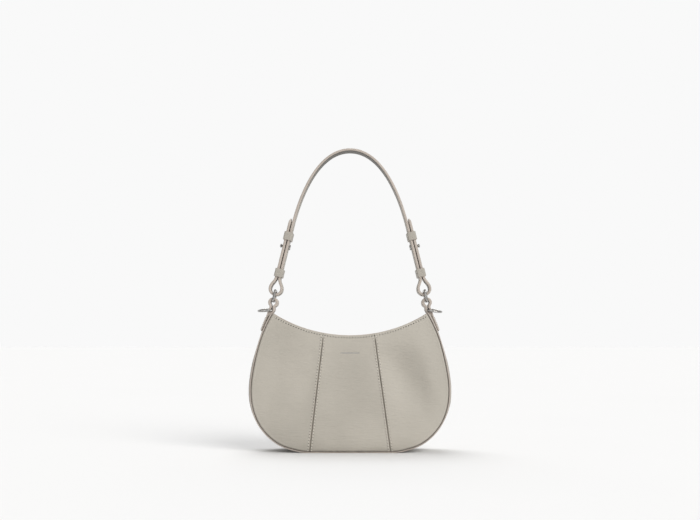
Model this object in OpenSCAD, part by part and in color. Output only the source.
// Small hobo shoulder bag: three leather panels front and back, a U-shaped gusset,
// a zipped curved mouth, side tabs with D-rings, metal links and a folded leather strap.
// Millimetres. X is left to right, -Y is the front, +Z is up, and the bag stands on z = 0.

/* [Bag body] */
// Half width of the front and back panels at their widest level
panel_hw = 122.1; // [118:0.1:126]
// Height of the widest level above the floor
widest_z = 76.3; // [72:0.1:82]
// Half width of the flat base
base_hw = 54.3; // [50:0.1:58]
// Half width of the panels at the top corners
corner_hw = 97.2; // [95:0.1:99]
// Height of the top corners
corner_z = 174; // [172:0.1:176]
// Half depth of the bag at the base
base_hd = 30; // [28:0.5:34]
// Half depth of the bag at the top corners
corner_hd = 14; // [13.8:0.1:16]
// How far the panels are filled out past their seams
fill = 7; // [0:0.5:9]
// Radius of the curved mouth edge
mouth_r = 183.1; // [178:0.1:200]
// Thickness of the panel leather
leather = 2; // [1.6:0.1:2.2]
// Half distance between the two panel seams at the base
seam_base_hw = 50.6; // [46:0.1:54]
// Half distance between the two panel seams at the mouth
seam_mouth_hw = 33; // [28:0.5:38]
// Width of the edge rim outside the panel seam
rim_w = 2.4; // [2:0.1:3]

/* [Zip] */
// Depth of the zip below the mouth edge
zip_drop = 10; // [9:0.5:14]
// Half angle that the zip covers about the centre of the mouth curve
zip_half_angle = 26; // [22:0.5:26]
// Angle of the slider when the zip is closed
slider_angle = 24; // [18:0.5:24]
// Distance between two teeth of one row
tooth_pitch = 3.4; // [3:0.1:4]
// Length of the zip pull
pull_len = 24; // [18:1:28]

/* [Strap] */
// Width of the strap
strap_w = 20; // [16:0.5:20]
// Thickness of the strap
strap_t = 3.7; // [3:0.1:4]
// Height of the middle of the strap at the top of its arch
arch_z = 381.7; // [340:0.1:420]
// Gap between the two plies where the strap is folded back
ply_gap = 1.5; // [1:0.1:1.8]
// Lean of the doubled strap ends towards the middle
strap_lean = 13.9; // [12:0.1:15]
// Length of the folded-back tail above the neck of the loop
tail_len = 76.7; // [72:0.5:80]

/* [Hardware] */
// Radius of the rod of the metal links
link_rod_r = 1.5; // [1.3:0.1:1.6]
// Radius of the rod of the D-rings
d_rod_r = 1.3; // [1.1:0.1:1.4]
// Reach of a D-ring from its bar to the middle of its bow
d_reach = 17.8; // [14:0.1:20]
// How far the left D-ring droops below level
d_droop_left = 5; // [0:1:10]
// How far the right D-ring droops below level
d_droop_right = 9; // [0:1:10]

/* [Hidden] */
$fn = 64;

leather_color = [0.72, 0.69, 0.65];
edge_color = [0.80, 0.74, 0.70];
lining_color = [0.55, 0.52, 0.48];
board_color = [0.35, 0.32, 0.30];
tape_color = [0.60, 0.57, 0.53];
metal_color = [0.62, 0.61, 0.60];

// Clearance between two sewn pieces that lie on each other
lay = 0.1;
rim_depth = 3;
// Shape of the panel outline between the base, the widest level and the top corner
base_reach = 34.2;
low_share = 0.33;
side_rise = 23.1;
corner_reach = [13.8, -24.7];
// Bulge of the gusset past the rim, the height where it is full, and its share at the top
gusset_bulge = 4.6;
gusset_full_z = 80;
gusset_fill_power = 2.3;
gusset_top_share = 0.55;
gusset_top_z = 165;
gusset_t = 1.8;
facing_t = 1.2;
lining_t = 0.8;
lining_inset = 4.1;
lean_per_z = (base_hd - corner_hd) / corner_z;
mouth_cz = corner_z + sqrt(mouth_r * mouth_r - corner_hw * corner_hw);
zip_r = mouth_r + zip_drop;
mouth_low_z = mouth_cz - mouth_r;
side_steps = 22;

// ---- curves -------------------------------------------------------------------

function bezier(a, b, c, d, t) =
    pow(1 - t, 3) * a + 3 * pow(1 - t, 2) * t * b + 3 * (1 - t) * t * t * c + pow(t, 3) * d;

// Right-hand edge of a panel as [x, z]: v is 0 at the base and 1 at the top corner
function panel_edge(v) =
    v < 0.5
    ? bezier([base_hw, rim_w], [base_hw + base_reach, rim_w],
             [panel_hw, low_share * widest_z], [panel_hw, widest_z], 2 * v)
    : bezier([panel_hw, widest_z], [panel_hw, widest_z + side_rise],
             [corner_hw, corner_z] + corner_reach, [corner_hw, corner_z], 2 * v - 1);

function unit(p) = p / norm(p);
function edge_way(v) = unit(panel_edge(min(v + 0.004, 1)) - panel_edge(max(v - 0.004, 0)));

// Point a distance out from the panel edge, square to it
function off_edge(v, out) = panel_edge(v) + out * [edge_way(v)[1], -edge_way(v)[0]];

function half_depth(z) = base_hd - lean_per_z * z;
function mouth_z(x) = mouth_cz - sqrt(mouth_r * mouth_r - x * x);
function ramp(x, low, high) = let (t = max(0, min(1, (x - low) / (high - low)))) t * t * (3 - 2 * t);

// Bulge of a filled panel: u is -1 to 1 across, v is 0 to 1 up the panel
function bulge(u, v) =
    fill * (1 - pow(1 - min(v / 0.35, 1), 3)) * (1 - 0.6 * v * v) * (1 - pow(abs(u), 2.5));

function panel_z(x, v) =
    let (e = panel_edge(v), corner_x = x * corner_hw / e[0])
    e[1] * (1 - v * v * (1 - mouth_z(corner_x) / corner_z));

// Point at a depth under the outer face of the front
function skin(u, v, depth) =
    let (x = u * panel_edge(v)[0], z = panel_z(x, v))
    [x, depth - half_depth(z) - bulge(u, v), z];

// Where the seam between two panels runs, as u
function seam_u(v) =
    let (e = panel_edge(v), rise = e[1] * (1 - v * v * (1 - mouth_low_z / corner_z)) / mouth_low_z)
    (seam_base_hw - (seam_base_hw - seam_mouth_hw) * rise) / e[0];

// Closed solid between two grids of points with the same rows and columns
module shell(outer, inner) {
    rows = len(outer);
    cols = len(outer[0]);
    count = rows * cols;
    top = rows - 1;
    right = cols - 1;
    function id(side, i, j) = side * count + i * cols + j;
    function quad(a, b, c, d) = [[a, b, c], [a, c, d]];
    faces = [
        for (i = [0 : rows - 2]) for (j = [0 : cols - 2])
            each quad(id(0, i, j), id(0, i + 1, j), id(0, i + 1, j + 1), id(0, i, j + 1)),
        for (i = [0 : rows - 2]) for (j = [0 : cols - 2])
            each quad(id(1, i, j), id(1, i, j + 1), id(1, i + 1, j + 1), id(1, i + 1, j)),
        for (i = [0 : rows - 2])
            each quad(id(0, i, 0), id(1, i, 0), id(1, i + 1, 0), id(0, i + 1, 0)),
        for (i = [0 : rows - 2])
            each quad(id(0, i, right), id(0, i + 1, right), id(1, i + 1, right), id(1, i, right)),
        for (j = [0 : cols - 2])
            each quad(id(0, 0, j), id(0, 0, j + 1), id(1, 0, j + 1), id(1, 0, j)),
        for (j = [0 : cols - 2])
            each quad(id(0, top, j), id(1, top, j), id(1, top, j + 1), id(0, top, j + 1))
    ];
    polyhedron(points = [for (side = [outer, inner]) for (row = side) each row], faces = faces);
}

module mirror_if(flip, way) {
    if (flip) mirror(way) children();
    else children();
}

// ---- leather body --------------------------------------------------------------

seam_gap = 0.002;

function center_grid(depth) =
    [for (i = [0 : side_steps]) [for (j = [-5 : 5])
        skin(j / 5 * (seam_u(i / side_steps) - seam_gap), i / side_steps, depth)]];

function side_grid(depth) =
    [for (i = [0 : side_steps]) let (v = i / side_steps, u0 = seam_u(v))
        [for (j = [0 : 9]) skin(u0 + (1 - u0) * j / 9, v, depth)]];

module center_panel(back) {
    color(leather_color) mirror_if(back, [0, 1, 0]) shell(center_grid(0), center_grid(leather));
}

module side_panel(back, left) {
    color(leather_color) mirror_if(back, [0, 1, 0]) mirror_if(left, [1, 0, 0])
        shell(side_grid(0), side_grid(leather));
}

module front_panel_left() { side_panel(false, true); }
module front_panel_center() { center_panel(false); }
module front_panel_right() { side_panel(false, false); }
module back_panel_left() { side_panel(true, true); }
module back_panel_center() { center_panel(true); }
module back_panel_right() { side_panel(true, false); }

// Walk along the body outline from one top end to the other: [side, v] or a base x
gusset_top_v = 0.955;
function walk(steps, top_v) = concat(
    [for (i = [steps : -1 : 0]) [-1, top_v * i / steps]],
    [for (k = [-2 : 2]) [k / 3, 0]],
    [for (i = [0 : steps]) [1, top_v * i / steps]]);
function walk_point(w, out) =
    let (p = off_edge(w[1], out))
    abs(w[0]) < 1 ? [w[0] * base_hw, rim_w - out] : [w[0] * p[0], p[1]];

function gusset_out(z) =
    let (rise = min(max(z - rim_w, 0) / (gusset_full_z - rim_w), 1),
         low = 1 - pow(1 - rise, gusset_fill_power),
         high = 1 - (1 - gusset_top_share) * ramp(z, gusset_full_z, gusset_top_z))
    rim_w + gusset_bulge * low * high;
function gusset_row(w, inset, edge_gap) =
    let (z = abs(w[0]) < 1 ? rim_w : panel_edge(w[1])[1])
    [for (k = [-3 : 3])
        let (s = k / 3,
             out = rim_w + (gusset_out(z) - rim_w) * (1 - pow(s, 4)) - inset,
             p = walk_point(w, out))
        [p[0], s * (half_depth(z) - edge_gap), p[1]]];

module gusset() {
    stations = walk(side_steps, gusset_top_v);
    color(leather_color) shell([for (w = stations) gusset_row(w, 0, rim_depth + lay)],
                               [for (w = stations) gusset_row(w, gusset_t, rim_depth + lay)]);
}

module rim(back) {
    slant = atan(lean_per_z);
    stations = walk(side_steps, 1);
    ring = concat([for (w = stations) walk_point(w, rim_w)],
                  [for (i = [len(stations) - 1 : -1 : 0]) walk_point(stations[i], lay / 2)]);
    color(edge_color) mirror_if(back, [0, 1, 0]) translate([0, -base_hd, 0]) rotate([90 - slant, 0, 0])
        translate([0, 0, -rim_depth]) linear_extrude(rim_depth)
            polygon([for (p = ring) [p[0], p[1] / cos(slant)]]);
}

module front_rim() { rim(false); }
module back_rim() { rim(true); }

// A patch of the front, from u = -reach to reach and v = low to high, at a depth
function patch(reach, low, high, rows, cols, depth) =
    [for (i = [0 : rows]) [for (j = [0 : cols])
        skin(reach * (2 * j / cols - 1), low + (high - low) * i / rows, depth)]];

facing_reach = 0.95;
facing_low_v = 0.88;
module facing(back) {
    color(leather_color) mirror_if(back, [0, 1, 0])
        shell(patch(facing_reach, facing_low_v, 1, 3, 20, leather + lay),
              patch(facing_reach, facing_low_v, 1, 3, 20, leather + lay + facing_t));
}

module front_facing() { facing(false); }
module back_facing() { facing(true); }

lining_reach = 0.97;
lining_low_v = 0.05;
lining_top_v = 0.875;
module lining(back) {
    color(lining_color) mirror_if(back, [0, 1, 0])
        shell(patch(lining_reach, lining_low_v, lining_top_v, 14, 14, leather + lay),
              patch(lining_reach, lining_low_v, lining_top_v, 14, 14, leather + lay + lining_t));
}

module lining_front() { lining(false); }
module lining_back() { lining(true); }

gusset_lining_v = 0.9;
gusset_lining_gap = 0.9;
module lining_gusset() {
    stations = walk(14, gusset_lining_v);
    edge_gap = rim_depth + gusset_lining_gap;
    inner = lining_inset + lining_t;
    color(lining_color) shell([for (w = stations) gusset_row(w, lining_inset, edge_gap)],
                              [for (w = stations) gusset_row(w, inner, edge_gap)]);
}

pocket_reach = 0.48;
pocket_low_v = 0.3;
pocket_top_v = 0.72;
module inner_pocket() {
    depth = leather + lay + lining_t + lay;
    color(lining_color) mirror([0, 1, 0])
        shell(patch(pocket_reach, pocket_low_v, pocket_top_v, 6, 10, depth),
              patch(pocket_reach, pocket_low_v, pocket_top_v, 6, 10, depth + lining_t));
}

board_t = 2;
board_margin = 2;
module base_board() {
    board_hw = base_hw - board_margin;
    board_hd = base_hd - rim_depth - board_margin;
    color(board_color) translate([-board_hw, -board_hd, gusset_t + lay])
        cube([2 * board_hw, 2 * board_hd, board_t]);
}

// ---- zip -----------------------------------------------------------------------

tape_inner_y = 2.5;
tape_outer_y = 9;
tape_t = 0.8;
strip_inner_y = 6.5;
strip_t = 1;
strip_rise = 0.8;

function zip_point(angle, r) = [r * sin(angle), mouth_cz - r * cos(angle)];
strip_v = 0.93;
function strip_outer_y(x, z) =
    half_depth(z) + bulge(x / corner_hw, strip_v) - leather - facing_t - 3 * lay;
function strip_grid(r) =
    [for (i = [-10 : 10])
        let (p = zip_point(i / 10 * zip_half_angle, r), z = p[1])
        [[p[0], -strip_outer_y(p[0], z), z], [p[0], -strip_inner_y, z]]];

module zip_strip(back) {
    color(leather_color) mirror_if(back, [0, 1, 0])
        shell(strip_grid(zip_r - strip_rise), strip_grid(zip_r - strip_rise - strip_t));
}

module zip_strip_front() { zip_strip(false); }
module zip_strip_back() { zip_strip(true); }

// Band that follows the zip curve, with its radii and its distance in front of the middle
module zip_band(r_low, r_high, y_near, y_far) {
    translate([0, 0, mouth_cz]) rotate([90, 0, 0]) rotate([0, 0, -90 - zip_half_angle])
        rotate_extrude(angle = 2 * zip_half_angle, $fn = 256)
            translate([r_low, y_near]) square([r_high - r_low, y_far - y_near]);
}

module zip_tape_front() {
    color(tape_color) zip_band(zip_r - tape_t + lay, zip_r + lay, tape_inner_y, tape_outer_y);
}

module zip_tape_back() {
    color(tape_color) mirror([0, 1, 0]) zip_tape_front();
}

// Places its children on the zip curve: x runs along it, z towards the centre of the curve
module on_zip(angle) {
    translate([0, 0, mouth_cz]) rotate([0, -angle, 0]) translate([0, 0, -zip_r]) children();
}

tooth_t = 1.8;
tooth_len = 1.3;
tooth_past_middle = 0.8;
module teeth(shift) {
    step = tooth_pitch / zip_r * 180 / PI;
    reach = floor((zip_half_angle - 1) / step);
    tooth_w = tape_inner_y - lay + tooth_past_middle;
    color(metal_color) for (i = [-reach : reach - 1])
        on_zip((i + shift) * step)
            translate([-tooth_len / 2, -tape_inner_y + lay, -tooth_t / 2])
                cube([tooth_len, tooth_w, tooth_t]);
}

module zip_teeth_front() { teeth(0); }
module zip_teeth_back() { mirror([0, 1, 0]) teeth(0.5); }

stop_size = [1.6, 4.4, 2];
stop_inset = 0.35;
module zip_stops() {
    color(metal_color) for (end = [-1, 1])
        on_zip(end * (zip_half_angle - stop_inset)) cube(stop_size, center = true);
}

bar_x = 2.5;
bar_z = 5.2;
bar_r = 0.8;
module zip_slider() {
    plate_len = 11;
    plate_w = 8;
    plate_low = 1.3;
    plate_t = 1.6;
    post_t = 0.8;
    post_in = 2;
    post_len = 2.4;
    post_low = plate_low + 1;
    bar_len = 2 * post_in + 0.2;
    color(metal_color) on_zip(slider_angle) union() {
        translate([-plate_len / 2, -plate_w / 2, plate_low]) cube([plate_len, plate_w, plate_t]);
        for (y = [-post_in - post_t, post_in])
            translate([bar_x - post_len / 2, y, post_low])
                cube([post_len, post_t, bar_z + bar_r - post_low]);
        translate([bar_x, 0, bar_z]) rotate([90, 0, 0]) cylinder(r = bar_r, h = bar_len, center = true);
    }
}

module zip_pull() {
    eye_r = 2;
    pull_t = 1.4;
    pull_w = 7;
    eye_w = 3.6;
    arm_len = 7;
    round_x = -pull_len + pull_w / 2;
    color(metal_color) on_zip(slider_angle) translate([bar_x, 0, bar_z]) difference() {
        union() {
            rotate([90, 0, 0]) translate([0, 0, -eye_w / 2]) cylinder(r = eye_r, h = eye_w);
            translate([-arm_len, -eye_w / 2, -pull_t / 2]) cube([arm_len, eye_w, pull_t]);
            translate([round_x, -pull_w / 2, -pull_t / 2])
                cube([1 - arm_len - round_x, pull_w, pull_t]);
            translate([round_x, 0, -pull_t / 2]) cylinder(r = pull_w / 2, h = pull_t);
        }
        rotate([90, 0, 0]) cylinder(r = bar_r + eye_clearance, h = 2 * eye_w, center = true);
    }
}

// ---- side tabs, D-rings and links ------------------------------------------------

d_bar = [98.9, 179.6];
loop_eye = [97.3, 188.4];
loop_in_r = 3.3;
loop_out_r = 6.2;
d_eye_r = 3.4;
eye_clearance = 0.07;
// Tab: how far up the panel edge its plies start and where they turn to the D-ring's eye
tab_low_v = 0.87;
inner_low_v = 0.905;
tab_top_v = 0.965;
inner_ply_w = 12;
tab_t = 2;
ply_out = gusset_out(panel_edge(tab_low_v)[1]) + 2 * lay;
// The inner ply lies inside the gusset, whose crown is lower over the ply's edges
crown_drop = 0.35;
ply_in = gusset_out(gusset_top_z) - gusset_t - tab_t - crown_drop;
eye_join_r = d_eye_r - 0.4;
loop_join_r = loop_out_r - 0.4;
link_low = [97.3, 190];
link_high = [94.6, 203.5];
side_gap = 0.3;

// Points up one side of a ply, at a distance from the panel edge
function ply_side(v_low, out) =
    [for (i = [0 : 6]) off_edge(v_low + (tab_top_v - v_low) * i / 6, out)];
function reversed(list) = [for (i = [len(list) - 1 : -1 : 0]) list[i]];
function around(p, r, angle) = p + r * [cos(angle), sin(angle)];

// One ply of the tab, from its lower end up into the D-ring eye
module ply(v_low, out, near_angle, far_angle) {
    polygon(concat(ply_side(v_low, out),
                   [around(d_bar, eye_join_r, near_angle), around(d_bar, eye_join_r, far_angle)],
                   reversed(ply_side(v_low, out + tab_t))));
}

// Turns a side view drawn in X and Z into a solid of a width centred on the middle plane
module across(width) {
    rotate([90, 0, 0]) translate([0, 0, -width / 2]) linear_extrude(width) children();
}

// Cylinder along Y, centred on the middle plane at a point of the side view
module peg(p, r, width) {
    translate([p[0], 0, p[1]]) rotate([90, 0, 0]) cylinder(r = r, h = width, center = true);
}

// Tab: outer ply, inner ply, eye for the D-ring's bar and loop for the link
module tab(left) {
    color(edge_color) mirror_if(left, [1, 0, 0]) difference() {
        union() {
            peg(d_bar, d_eye_r, strap_w);
            peg(loop_eye, loop_out_r, strap_w);
            across(strap_w) ply(tab_low_v, ply_out, 230, 50);
            across(inner_ply_w) ply(inner_low_v, ply_in, 200, -20);
            across(strap_w)
                polygon([around(d_bar, eye_join_r, 10), around(loop_eye, loop_join_r, -50),
                         around(loop_eye, loop_join_r, 230), around(d_bar, eye_join_r, 170)]);
        }
        peg(loop_eye, loop_in_r, 2 * strap_w);
        peg(d_bar, d_rod_r + eye_clearance, 2 * strap_w);
    }
}

module tab_left() { tab(true); }
module tab_right() { tab(false); }

ring_hw = strap_w / 2 + side_gap;
module d_ring(left) {
    bow_r = ring_hw + d_rod_r;
    arm = d_reach - bow_r;
    droop = left ? d_droop_left : d_droop_right;
    color(metal_color) mirror_if(left, [1, 0, 0])
        translate([d_bar[0], 0, d_bar[1]]) rotate([0, droop, 0]) union() {
            rotate([90, 0, 0]) cylinder(r = d_rod_r, h = 2 * bow_r, center = true);
            for (side = [-1, 1]) translate([0, side * bow_r, 0]) {
                sphere(r = d_rod_r);
                rotate([0, 90, 0]) cylinder(r = d_rod_r, h = arm);
            }
            translate([arm, 0, 0]) rotate([0, 0, -90])
                rotate_extrude(angle = 180) translate([bow_r, 0]) circle(r = d_rod_r);
        }
}

module d_ring_left() { d_ring(true); }
module d_ring_right() { d_ring(false); }

link_gap = 0.5;
// Closed ring of rod with its bars along Y, standing up from its lower bar
module link_ring(height) {
    hw = ring_hw + link_gap + link_rod_r;
    union() {
        for (z = [0, height]) translate([0, 0, z]) rotate([90, 0, 0])
            cylinder(r = link_rod_r, h = 2 * hw, center = true);
        for (side = [-1, 1]) translate([0, side * hw, 0]) {
            cylinder(r = link_rod_r, h = height);
            sphere(r = link_rod_r);
            translate([0, 0, height]) sphere(r = link_rod_r);
        }
    }
}

module link(left) {
    rise = link_high - link_low;
    color(metal_color) mirror_if(left, [1, 0, 0])
        translate([link_low[0], 0, link_low[1]]) rotate([0, atan2(rise[0], rise[1]), 0])
            link_ring(norm(rise));
}

module link_left() { link(true); }
module link_right() { link(false); }

// ---- strap ---------------------------------------------------------------------

strap_foot = [91.2, 220.5];
ply_mid = (ply_gap + strap_t) / 2;
straight_len = 66.5;
loop_r = 7.4;
loop_drop = 15;
loop_shift = -0.8;
loop_lead = 9;
neck_len = 6;
stud_at = 40.3;

// Doubled strap end in its own frame: a runs up along it, b out from its middle
function lean_point(a, b) =
    strap_foot + [b * cos(strap_lean) - a * sin(strap_lean),
                  a * cos(strap_lean) + b * sin(strap_lean)];

// Outline of a band of a thickness around a line of points
function line_way(line, i) = unit(line[min(i + 1, len(line) - 1)] - line[max(i - 1, 0)]);
function line_off(line, i, off) = line[i] + off * [-line_way(line, i)[1], line_way(line, i)[0]];
function band(line, t) = concat(
    [for (i = [0 : len(line) - 1]) line_off(line, i, t / 2)],
    [for (i = [len(line) - 1 : -1 : 0]) line_off(line, i, -t / 2)]);

arch_steps = 24;
// Gap between the strap and its loops
cut = 0.05;
// How far the arch runs on straight at its foot and level at its top
arch_rise = 51;
arch_reach = 37;
arch_half = concat([lean_point(cut, -ply_mid)], [for (i = [0 : arch_steps])
    bezier(lean_point(straight_len, -ply_mid), lean_point(straight_len + arch_rise, -ply_mid),
           [arch_reach, arch_z], [0, arch_z], i / arch_steps)]);
arch_line = concat(arch_half,
    [for (i = [len(arch_half) - 2 : -1 : 0]) [-arch_half[i][0], arch_half[i][1]]]);

post_r = 1.5;
hole_gap = 0.1;
module stud_hole(left) {
    mirror_if(left, [1, 0, 0]) at_stud() cylinder(r = post_r + hole_gap, h = strap_w, center = true);
}

// Places its children at the stud, with z along the post towards the outside
module at_stud() {
    p = lean_point(stud_at, 0);
    translate([p[0], 0, p[1]]) rotate([0, 90 - strap_lean, 0]) children();
}

module strap() {
    color(edge_color) difference() {
        across(strap_w) polygon(band(arch_line, strap_t));
        stud_hole(false);
        stud_hole(true);
    }
}

module strap_tail(left) {
    tip_len = 3;
    chamfer = 0.3;
    inner = ply_gap / 2;
    outer = inner + strap_t;
    color(edge_color) difference() {
        mirror_if(left, [1, 0, 0]) across(strap_w)
            polygon([lean_point(cut, inner), lean_point(cut, outer),
                     lean_point(tail_len - tip_len, outer), lean_point(tail_len, inner + strap_t / 2),
                     lean_point(tail_len, inner + chamfer), lean_point(tail_len - 1, inner)]);
        stud_hole(left);
    }
}

module strap_tail_left() { strap_tail(true); }
module strap_tail_right() { strap_tail(false); }

// Middle line of the loop, from the outer ply round to the inner ply
loop_line = concat(
    [[0, ply_mid]],
    [for (i = [0 : 7]) bezier([-1, ply_mid], [-neck_len, ply_mid], [-loop_lead, loop_shift + loop_r],
                              [-loop_drop, loop_shift + loop_r], i / 8)],
    [for (i = [0 : 15]) [-loop_drop - loop_r * sin(12 * i), loop_shift + loop_r * cos(12 * i)]],
    [for (i = [1 : 8]) bezier([-loop_drop, loop_shift - loop_r], [-loop_lead, loop_shift - loop_r],
                              [-neck_len, -ply_mid], [-1, -ply_mid], i / 8)],
    [[0, -ply_mid]]);

module strap_loop(left) {
    color(edge_color) mirror_if(left, [1, 0, 0]) across(strap_w)
        polygon([for (p = band(loop_line, strap_t)) lean_point(p[0], p[1])]);
}

module strap_loop_left() { strap_loop(true); }
module strap_loop_right() { strap_loop(false); }

keeper_len = 10.4;
keeper_t = 1.5;
module keeper(left, at) {
    in_b = ply_gap / 2 + strap_t + side_gap;
    in_y = strap_w / 2 + side_gap;
    p = lean_point(at, 0);
    color(leather_color) mirror_if(left, [1, 0, 0])
        translate([p[0], 0, p[1]]) rotate([0, -strap_lean, 0]) difference() {
            translate([-in_b - keeper_t, -in_y - keeper_t, 0])
                cube([2 * (in_b + keeper_t), 2 * (in_y + keeper_t), keeper_len]);
            translate([-in_b, -in_y, -1]) cube([2 * in_b, 2 * in_y, keeper_len + 2]);
        }
}

lower_at = 0.5;
upper_at = 48.4;
module keeper_lower_left() { keeper(true, lower_at); }
module keeper_lower_right() { keeper(false, lower_at); }
module keeper_upper_left() { keeper(true, upper_at); }
module keeper_upper_right() { keeper(false, upper_at); }

stud_face = ply_gap / 2 + strap_t + cut;
collar_r = 3;
collar_t = 0.7;
button_r = 2.6;
button_mid = 2.4;
button_low = 2;
button_high = 1.6;
// Button stud: a collar, a round head and a post through both plies
module stud(left) {
    color(metal_color) mirror_if(left, [1, 0, 0]) at_stud() {
        translate([0, 0, -stud_face]) cylinder(r = post_r, h = 2 * stud_face + collar_t);
        translate([0, 0, stud_face]) cylinder(r = collar_r, h = collar_t);
        translate([0, 0, stud_face + button_mid]) intersection() {
            sphere(r = button_r);
            translate([0, 0, -button_low])
                cylinder(r = 2 * button_r, h = button_low + button_high);
        }
    }
}

module stud_left() { stud(true); }
module stud_right() { stud(false); }

screw_r = 3.2;
screw_t = 1.2;
slot_w = 0.8;
slot_depth = 0.5;
module stud_screw(left) {
    back = -stud_face - screw_t;
    color(metal_color) mirror_if(left, [1, 0, 0]) at_stud() difference() {
        translate([0, 0, back]) cylinder(r = screw_r, h = screw_t);
        translate([-screw_r - 1, -slot_w / 2, back - 1]) cube([2 * screw_r + 2, slot_w, slot_depth + 1]);
    }
}

module stud_screw_left() { stud_screw(true); }
module stud_screw_right() { stud_screw(false); }

// ---- nodes ---------------------------------------------------------------------

front_panel_left();
front_panel_center();
front_panel_right();
back_panel_left();
back_panel_center();
back_panel_right();
gusset();
front_rim();
back_rim();
front_facing();
back_facing();
lining_front();
lining_back();
lining_gusset();
inner_pocket();
base_board();
zip_strip_front();
zip_strip_back();
zip_tape_front();
zip_tape_back();
zip_teeth_front();
zip_teeth_back();
zip_stops();
zip_slider();
zip_pull();
tab_left();
tab_right();
d_ring_left();
d_ring_right();
link_left();
link_right();
strap_loop_left();
strap_loop_right();
strap();
strap_tail_left();
strap_tail_right();
keeper_lower_left();
keeper_lower_right();
keeper_upper_left();
keeper_upper_right();
stud_left();
stud_right();
stud_screw_left();
stud_screw_right();
